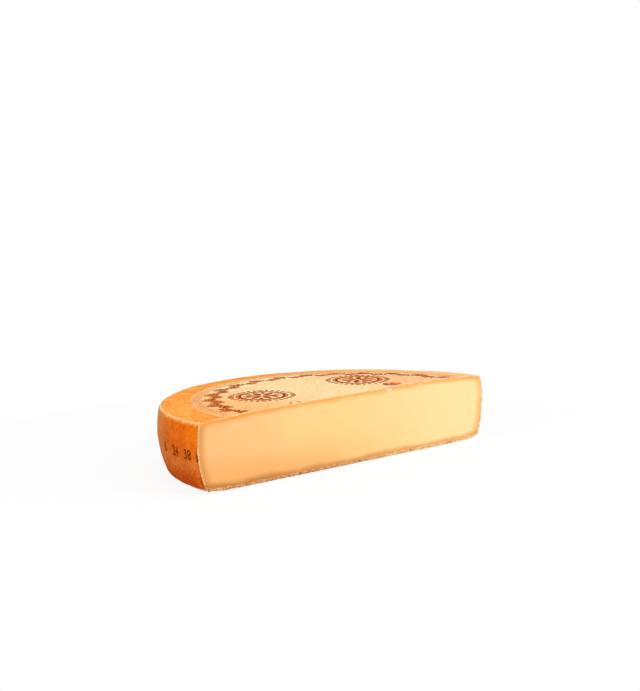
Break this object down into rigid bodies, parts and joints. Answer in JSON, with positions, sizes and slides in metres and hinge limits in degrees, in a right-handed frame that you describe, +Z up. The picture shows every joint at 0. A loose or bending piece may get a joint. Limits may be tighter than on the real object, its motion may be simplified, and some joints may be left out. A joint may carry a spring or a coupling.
{
  "type": "cheese half wheel",
  "caption": "Half of a round wheel of aged hard mountain cheese, lying flat: one knife cut through the middle, a natural rind and a printed paper disc on its upper face.",
  "frame": {"origin": "middle of the bounding box at the height of the foot, so half the part's depth behind the cut", "axes": "+Z up, out of the printed upper face; +X along the cut from its left end to its right end; -Y out of the cut face"},
  "size_m": [0.54, 0.2699, 0.1003],
  "materials": {
    "cheese": "aged hard cheese: smooth pale yellow paste on the cut, washed orange-brown rind with a fine grain elsewhere",
    "paper": "thin paper stuck to the rind, matt, stained by it",
    "ink": "flat brown food ink, matt"
  },
  "bodies": {
    "root": {"half_wheel": "cheese", "paper_disc": "paper"}
  },
  "joints": []
}
